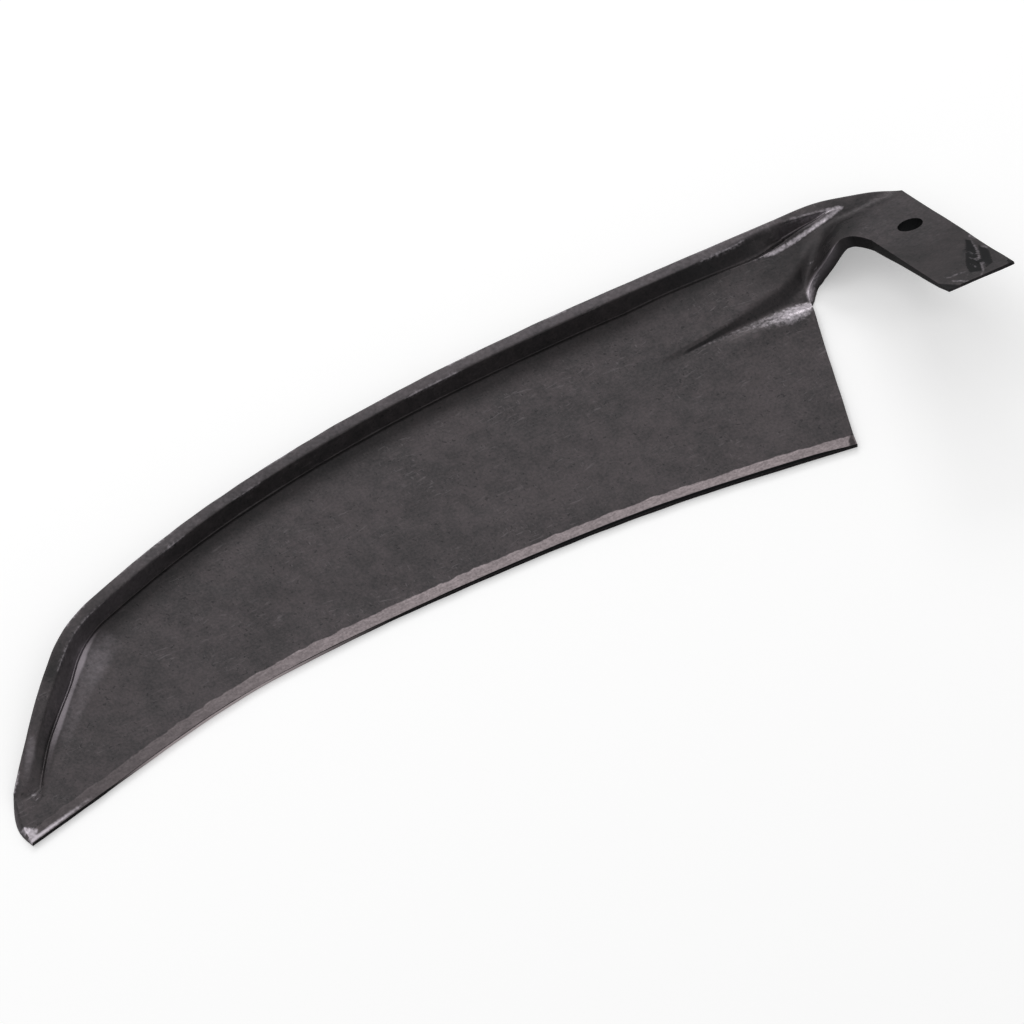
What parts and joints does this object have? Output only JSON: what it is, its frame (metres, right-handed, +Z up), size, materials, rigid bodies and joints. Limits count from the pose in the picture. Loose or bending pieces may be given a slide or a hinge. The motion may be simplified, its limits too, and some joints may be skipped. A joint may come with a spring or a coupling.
{
  "type": "scythe blade",
  "caption": "Short, wide scythe blade with a raised rim and groove along its back, a ground edge bevel and a twisted neck that ends in a pitched flat tang with a round hole.",
  "frame": {"origin": "middle of the blade's bounding box in plan, on the surface that the flat web lies on", "axes": "+X along the cutting edge from the toe to the heel and tang, +Y across the web from the edge to the rim on the back, +Z up from the web"},
  "size_m": [0.4822, 0.1174, 0.0617],
  "materials": {
    "steel": "blackened forged steel, worn bright along its edges and ground along the cutting edge"
  },
  "bodies": {
    "root": {"scythe_blade": "steel"}
  },
  "joints": []
}
